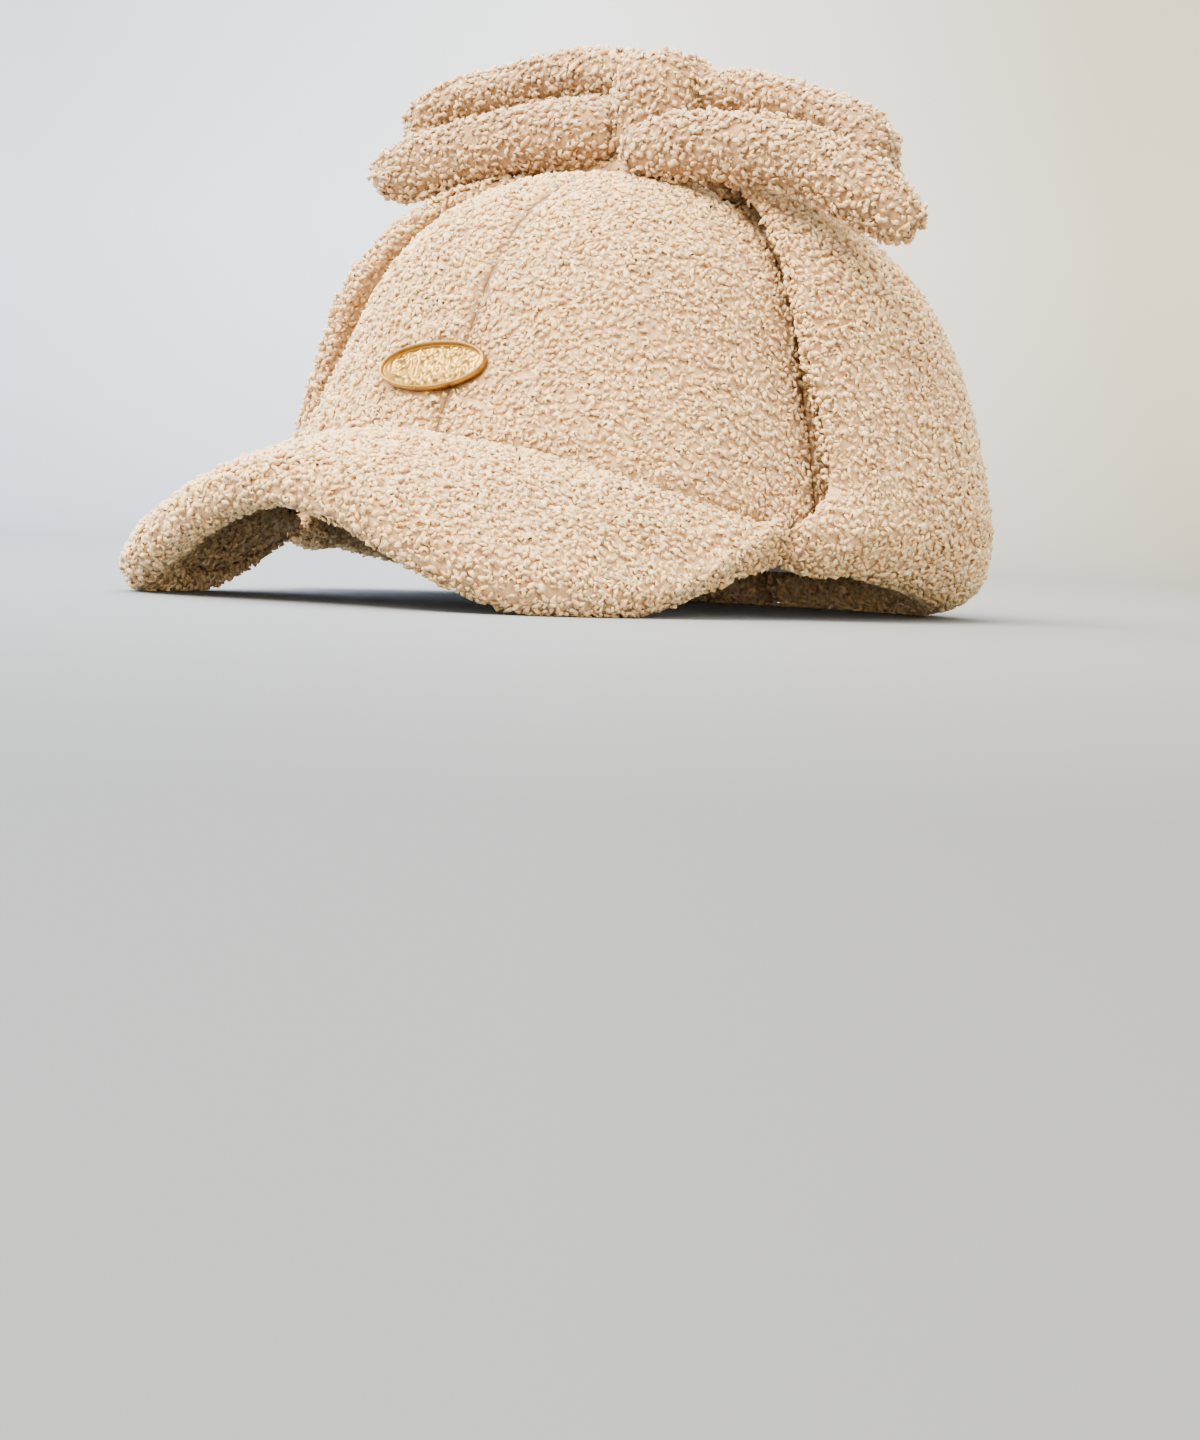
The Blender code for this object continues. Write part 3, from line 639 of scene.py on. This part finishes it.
def backing_mesh(node, points, faces, others):
    """The solid, with rounded edges on the peak and the earflaps, drawn in or plumped as the
    backing of the pile.

    Returns its points, its faces, and which of these line the crown's inside.
    """
    mesh = bpy.data.meshes.new(node + "_backing")
    mesh.from_pydata(points.tolist(), [], faces.tolist())
    work = bmesh.new()
    work.from_mesh(mesh)
    bmesh.ops.join_triangles(
        work, faces=work.faces, angle_face_threshold=0.7, angle_shape_threshold=0.8, cmp_seam=False
    )
    bmesh.ops.recalc_face_normals(work, faces=work.faces)
    work.to_mesh(mesh)
    work.free()
    holder = bpy.data.objects.new(node + "_backing", mesh)
    bpy.context.scene.collection.objects.link(holder)
    rounder = holder.modifiers.new("round", "SUBSURF")
    keeps_size = node.startswith(("crown", "bow", "tie"))
    rounder.subdivision_type = "SIMPLE" if keeps_size else "CATMULL_CLARK"
    rounder.levels = rounder.render_levels = 1
    depsgraph = bpy.context.evaluated_depsgraph_get()
    smooth = bpy.data.meshes.new_from_object(holder.evaluated_get(depsgraph), depsgraph=depsgraph)
    bpy.data.objects.remove(holder)
    work = bmesh.new()
    work.from_mesh(smooth)
    work.normal_update()
    outward = np.array([vertex.normal for vertex in work.verts])
    for vertex, normal, shift in zip(work.verts, outward, swell(node, outward)):
        if shift.any():
            vertex.co += Vector(shift)
        elif others.find_nearest(vertex.co, NEIGHBOUR)[0] is None:
            vertex.co -= Vector(normal) * BACKING_INSET
        vertex.co.z = max(vertex.co.z, FLOOR_CLEAR)
    work.verts.index_update()
    made_points = np.array([vertex.co for vertex in work.verts])
    made_faces = [[vertex.index for vertex in face.verts] for face in work.faces]
    lining = []
    for face in work.faces:
        toward = (face.calc_center_median() - Vector(CROWN_MIDDLE)).normalized()
        lining.append(node.startswith("crown") and face.normal.dot(toward) < LINING_FACING)
    work.free()
    bpy.data.meshes.remove(smooth)
    return made_points, made_faces, lining


def build_piece(name, points, faces, materials, numbers=None):
    """A smooth-shaded mesh object; numbers picks each face's material."""
    mesh = bpy.data.meshes.new(name)
    mesh.from_pydata(points.tolist(), [], faces)
    for finish in materials:
        mesh.materials.append(finish)
    if numbers is not None:
        mesh.polygons.foreach_set("material_index", numbers)
    mesh.shade_smooth()
    made = bpy.data.objects.new(name, mesh)
    bpy.context.scene.collection.objects.link(made)
    return made


def add_numbers(mesh, name, values):
    """Stores one number for each point, for the material to read."""
    layer = mesh.attributes.new(name, "FLOAT", "POINT")
    layer.data.foreach_set("value", np.asarray(values, dtype=np.float32))


def pile_grows(node, place, normal, others, everything):
    """Whether pile shows at a place: not where pieces touch, inside the crown or shut in."""
    if others.ray_cast(Vector(place + normal * JUST_OFF), Vector(normal), TOUCH)[0] is not None:
        return False
    if others.find_nearest(Vector(place + normal * 0.5 * TOUCH), 0.5 * TOUCH)[0] is not None:
        return False
    if node.startswith("crown") and normal.dot(place - CROWN_MIDDLE) < 0.0:
        return False
    return sees_out(place, normal, everything)


def seam_share(place, others):
    """How near a place is to a seam or a contact: 1 at the joint, 0 beyond its reach."""
    away = others.find_nearest(Vector(place), SEAM_LOW)[3]
    if away is None:
        return 0.0
    return min(1.0, (SEAM_LOW - away) / (SEAM_LOW - SEAM_GAP))


def dress_fleece(node, pile, shapes, finishes, seed):
    """Builds one fleece piece, backing and curls, in place of its solid."""
    rng = np.random.default_rng(seed)
    points, faces = shapes[node]
    others = mesh_tree([shapes[other] for other in shapes if other != node])
    everything = mesh_tree(shapes.values())
    places, chosen = spread_roots(points, faces, pile.pitch, rng)
    normals = smooth_normals(points, faces, places, chosen)
    facing = face_normals(points, faces)[0][chosen]
    kept, low = [], []
    for index, place in enumerate(places):
        if pile_grows(node, place, facing[index], others, everything):
            share = seam_share(place, others)
            if node.startswith("bow") or share <= BARE_SHARE:
                kept.append(index)
                low.append(share)
    places, normals = places[kept], normals[kept]
    roots = places + swell(node, normals)
    # height here is the curls' painted shade
    curl_points, curls, tint, height = grow_curls(roots, normals, np.array(low), rng, pile)
    curl_points[:, 2] = np.maximum(curl_points[:, 2], FLOOR_CLEAR)
    base_points, base_faces, lining = backing_mesh(node, points, faces, others)
    # The backing is painted with the shade of the roots of a tall pile and of the middle of a short
    # one, darkest at seams and contacts
    seam_shade_share = np.array([seam_share(place, others) for place in base_points])
    base_painted_shade = (0.9 - 0.7 * pile.raised) * (1.0 - seam_shade_share)
    base_tint = np.full(len(base_points), BACKING_TINT)
    all_points = np.concatenate([base_points, curl_points])
    all_faces = base_faces + [[corner + len(base_points) for corner in face] for face in curls]
    numbers = [int(inner) for inner in lining] + [0] * len(curls)
    piece = build_piece("fleece_" + node, all_points, all_faces, finishes, numbers)
    add_numbers(piece.data, "curl_tint", np.concatenate([base_tint, tint]))
    add_numbers(piece.data, "pile_painted_shade", np.concatenate([base_painted_shade, height]))
    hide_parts(node)
    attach(piece, "root")


def badge_frame(points):
    """The middle of the badge's solid, its three directions and its half sizes."""
    ways = np.linalg.svd(points - points.mean(axis=0), full_matrices=False)[2]
    wide = ways[0] if ways[0][0] > 0 else -ways[0]
    tall = ways[1] if ways[1][2] > 0 else -ways[1]
    deep = np.cross(wide, tall)
    if deep[1] < 0:
        deep = -deep
    middle, half = np.zeros(3), []
    for way in (wide, tall, deep):
        along = points @ way
        middle += way * 0.5 * (along.min() + along.max())
        half.append(0.5 * np.ptp(along))
    return middle, (wide, tall, deep), half


def on_disc(row, column):
    """Where a corner of the field's grid comes to on a disc of radius 1."""
    u, v = 2.0 * column / FIELD_COLUMNS - 1.0, 2.0 * row / FIELD_ROWS - 1.0
    return u * math.sqrt(1.0 - 0.5 * v * v), v * math.sqrt(1.0 - 0.5 * u * u)


def field_relief(across, up, share):
    """Relief of the badge's field, 0 to 1: an uneven cast pattern that fades out at its border."""
    wave = noise.noise(Vector((across / RELIEF_ACROSS, up / RELIEF_UP, RELIEF_SLICE)))
    cast = min(1.0, max(0.0, 0.5 + RELIEF_CONTRAST * wave))
    return cast * min(1.0, BORDER_FADE * (1.0 - share))


def dress_badge(finish):
    """The badge, in place of its solid: a rounded rim round a sunk field with a cast pattern."""
    middle, (wide, tall, deep), half = badge_frame(node_arrays("badge")[0])
    half_wide, half_tall, half_deep = half
    thick = 2.0 * half_deep
    field_wide = half_wide - RIM_TO_FIELD * BADGE_RIM
    field_tall = half_tall - RIM_TO_FIELD * BADGE_RIM

    def placed(x, z, height):
        return middle + wide * x + tall * z + deep * (half_deep - height)

    points, faces, index = [], [], {}
    for row in range(FIELD_ROWS + 1):
        for column in range(FIELD_COLUMNS + 1):
            x, z = on_disc(row, column)
            relief = field_relief(x * field_wide, z * field_tall, math.hypot(x, z))
            index[row, column] = len(points)
            height = (FIELD_LOW + FIELD_RELIEF * relief) * thick
            points.append(placed(x * field_wide, z * field_tall, height))
    for row in range(FIELD_ROWS):
        for column in range(FIELD_COLUMNS):
            corners = ((row, column), (row, column + 1), (row + 1, column + 1), (row + 1, column))
            faces.append([index[corner] for corner in corners])
    border = [(0, column) for column in range(FIELD_COLUMNS)]
    border += [(row, FIELD_COLUMNS) for row in range(FIELD_ROWS)]
    border += [(FIELD_ROWS, FIELD_COLUMNS - column) for column in range(FIELD_COLUMNS)]
    border += [(FIELD_ROWS - row, 0) for row in range(FIELD_ROWS)]
    turns = []
    for corner in border:
        x, z = on_disc(*corner)
        turns.append(math.atan2(z, x))
    ring = [index[corner] for corner in border]
    for inset, height in reversed(RIM_PROFILE):
        fresh = []
        for turn in turns:
            fresh.append(len(points))
            x = (half_wide - inset * BADGE_RIM) * math.cos(turn)
            z = (half_tall - inset * BADGE_RIM) * math.sin(turn)
            points.append(placed(x, z, height * thick))
        for step in range(len(ring)):
            after = (step + 1) % len(ring)
            faces.append([ring[step], ring[after], fresh[after], fresh[step]])
        ring = fresh
    faces.append(ring[::-1])
    piece = build_piece("gilt_badge", np.array(points), faces, [finish])
    work = bmesh.new()
    work.from_mesh(piece.data)
    bmesh.ops.recalc_face_normals(work, faces=work.faces)
    work.to_mesh(piece.data)
    work.free()
    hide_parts("badge")
    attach(piece, "root")


def matt_paper(ahead, aside):
    """Matt paper: pale, with no gloss, with painted light: cool on one side, warm on the other,
    darker near than far.
    """
    made, shader = new_material("pale_matt_paper_painted_light")
    tree = made.node_tree
    place = add_node(tree, "ShaderNodeTexCoord")
    # Painted light across, over 0.7 m, cool to warm, and along, darker from the near paper to
    # lighter 1.5 m behind the cap
    painted_cool_to_warm_light = [(0.0, "#D0D9E3"), (0.5, "#FCFCFA"), (1.0, "#D5C8AA")]
    painted_near_to_far_light = [(0.0, "#535557"), (0.38, "#7E8082"), (0.75, "#868889"), (1.0, "#C0C1C1")]
    shades = []
    for way, nearest, farthest, stops in (
        (aside, -0.35, 0.35, painted_cool_to_warm_light),
        (ahead, -0.9, 1.5, painted_near_to_far_light),
    ):
        along = add_node(
            tree,
            "ShaderNodeVectorMath",
            {"operation": "DOT_PRODUCT"},
            S0=place.outputs["Object"],
            S1=tuple(way),
        )
        share = add_node(
            tree,
            "ShaderNodeMapRange",
            None,
            Value=along.outputs["Value"],
            From_Min=nearest,
            From_Max=farthest,
        )
        shade = add_node(tree, "ShaderNodeValToRGB", S0=share.outputs["Result"])
        set_ramp(shade, stops)
        shades.append(shade.outputs["Color"])
    paper = add_node(
        tree,
        "ShaderNodeMix",
        {"data_type": "RGBA", "blend_type": "MULTIPLY"},
        S0=1.0,
        S6=shades[0],
        S7=shades[1],
    )
    tree.links.new(paper.outputs[2], shader.inputs["Base Color"])
    shader.inputs["Roughness"].default_value = 0.9
    return made


def add_floor():
    """A pale floor that rises behind the cap in one sweep."""
    toward = math.radians(PAPER_TURN)
    ahead = Vector((-math.sin(toward), math.cos(toward), 0.0))
    aside = Vector((math.cos(toward), math.sin(toward), 0.0))
    rows = [(-PAPER_HALF, 0.0), (PAPER_FLAT, 0.0)]
    for step in range(1, PAPER_STEPS + 1):
        turn = 0.5 * math.pi * step / PAPER_STEPS
        out, up = PAPER_BEND * math.sin(turn), PAPER_BEND * (1.0 - math.cos(turn))
        rows.append((PAPER_FLAT + out, up))
    rows.append((PAPER_FLAT + PAPER_BEND, PAPER_RISE))
    points, faces = [], []
    for out, up in rows:
        for side in (-PAPER_HALF, PAPER_HALF):
            points.append(tuple(ahead * out + aside * side + Vector((0.0, 0.0, up))))
    for row in range(len(rows) - 1):
        faces.append([2 * row, 2 * row + 1, 2 * row + 3, 2 * row + 2])
    floor = build_piece("floor", np.array(points), faces, [matt_paper(ahead, aside)])


def add_light(name, place, target, size, power, colour):
    """A square soft light that faces a target."""
    lamp = bpy.data.lights.new(name, "AREA")
    lamp.shape = "SQUARE"
    lamp.size = size
    lamp.energy = power
    lamp.color = linear(colour)[:3]
    made = bpy.data.objects.new(name, lamp)
    made.location = place
    made.rotation_mode = "QUATERNION"
    made.rotation_quaternion = (Vector(target) - Vector(place)).to_track_quat("-Z", "Y")
    bpy.context.scene.collection.objects.link(made)


def add_surroundings():
    """Pale light from all round, brightest from a window high on the left."""
    world = bpy.data.worlds.new("studio")
    bpy.context.scene.world = world
    world.use_nodes = True
    tree = world.node_tree
    direction = add_node(tree, "ShaderNodeTexCoord")
    toward_window = add_node(
        tree,
        "ShaderNodeVectorMath",
        {"operation": "DOT_PRODUCT"},
        S0=direction.outputs["Generated"],
        S1=WINDOW_WAY,
    )
    # From 0.8 on the side away from the window to 5.4 toward it
    brightness = add_node(
        tree,
        "ShaderNodeMapRange",
        None,
        Value=toward_window.outputs["Value"],
        From_Min=-0.5,
        From_Max=0.9,
        To_Min=0.8,
        To_Max=5.4,
    )
    sky = tree.nodes["Background"]
    sky.inputs["Color"].default_value = linear("#EDF1F6")
    tree.links.new(brightness.outputs["Result"], sky.inputs["Strength"])


def add_camera():
    """The camera, at the photograph's angle to the cap."""
    data = bpy.data.cameras.new("camera")
    data.sensor_width = SENSOR
    data.lens = SENSOR * FOCAL_PIXELS / IMAGE_HEIGHT
    data.clip_start = NEAREST_SEEN
    made = bpy.data.objects.new("camera", data)
    made.location = CAMERA_AT
    made.rotation_mode = "QUATERNION"
    aim = (Vector(CAMERA_TARGET) - Vector(CAMERA_AT)).to_track_quat("-Z", "Y")
    made.rotation_quaternion = aim @ Quaternion((0.0, 0.0, 1.0), math.radians(CAMERA_ROLL))
    bpy.context.scene.collection.objects.link(made)
    bpy.context.scene.camera = made


shapes = {node: node_arrays(node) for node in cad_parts}
fleece_finishes = [teddy_fleece(), lining_knit()]
for seed, (node, pile) in enumerate(FLEECE_PIECES.items(), start=FIRST_SEED):
    dress_fleece(node, pile, shapes, fleece_finishes, seed)
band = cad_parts["sweatband"]
band.data.materials.clear()
band.data.materials.append(sweatband_cloth())
dress_badge(gilt_metal())

add_floor()
add_surroundings()
for light in LIGHTS:
    add_light(*light)
add_camera()
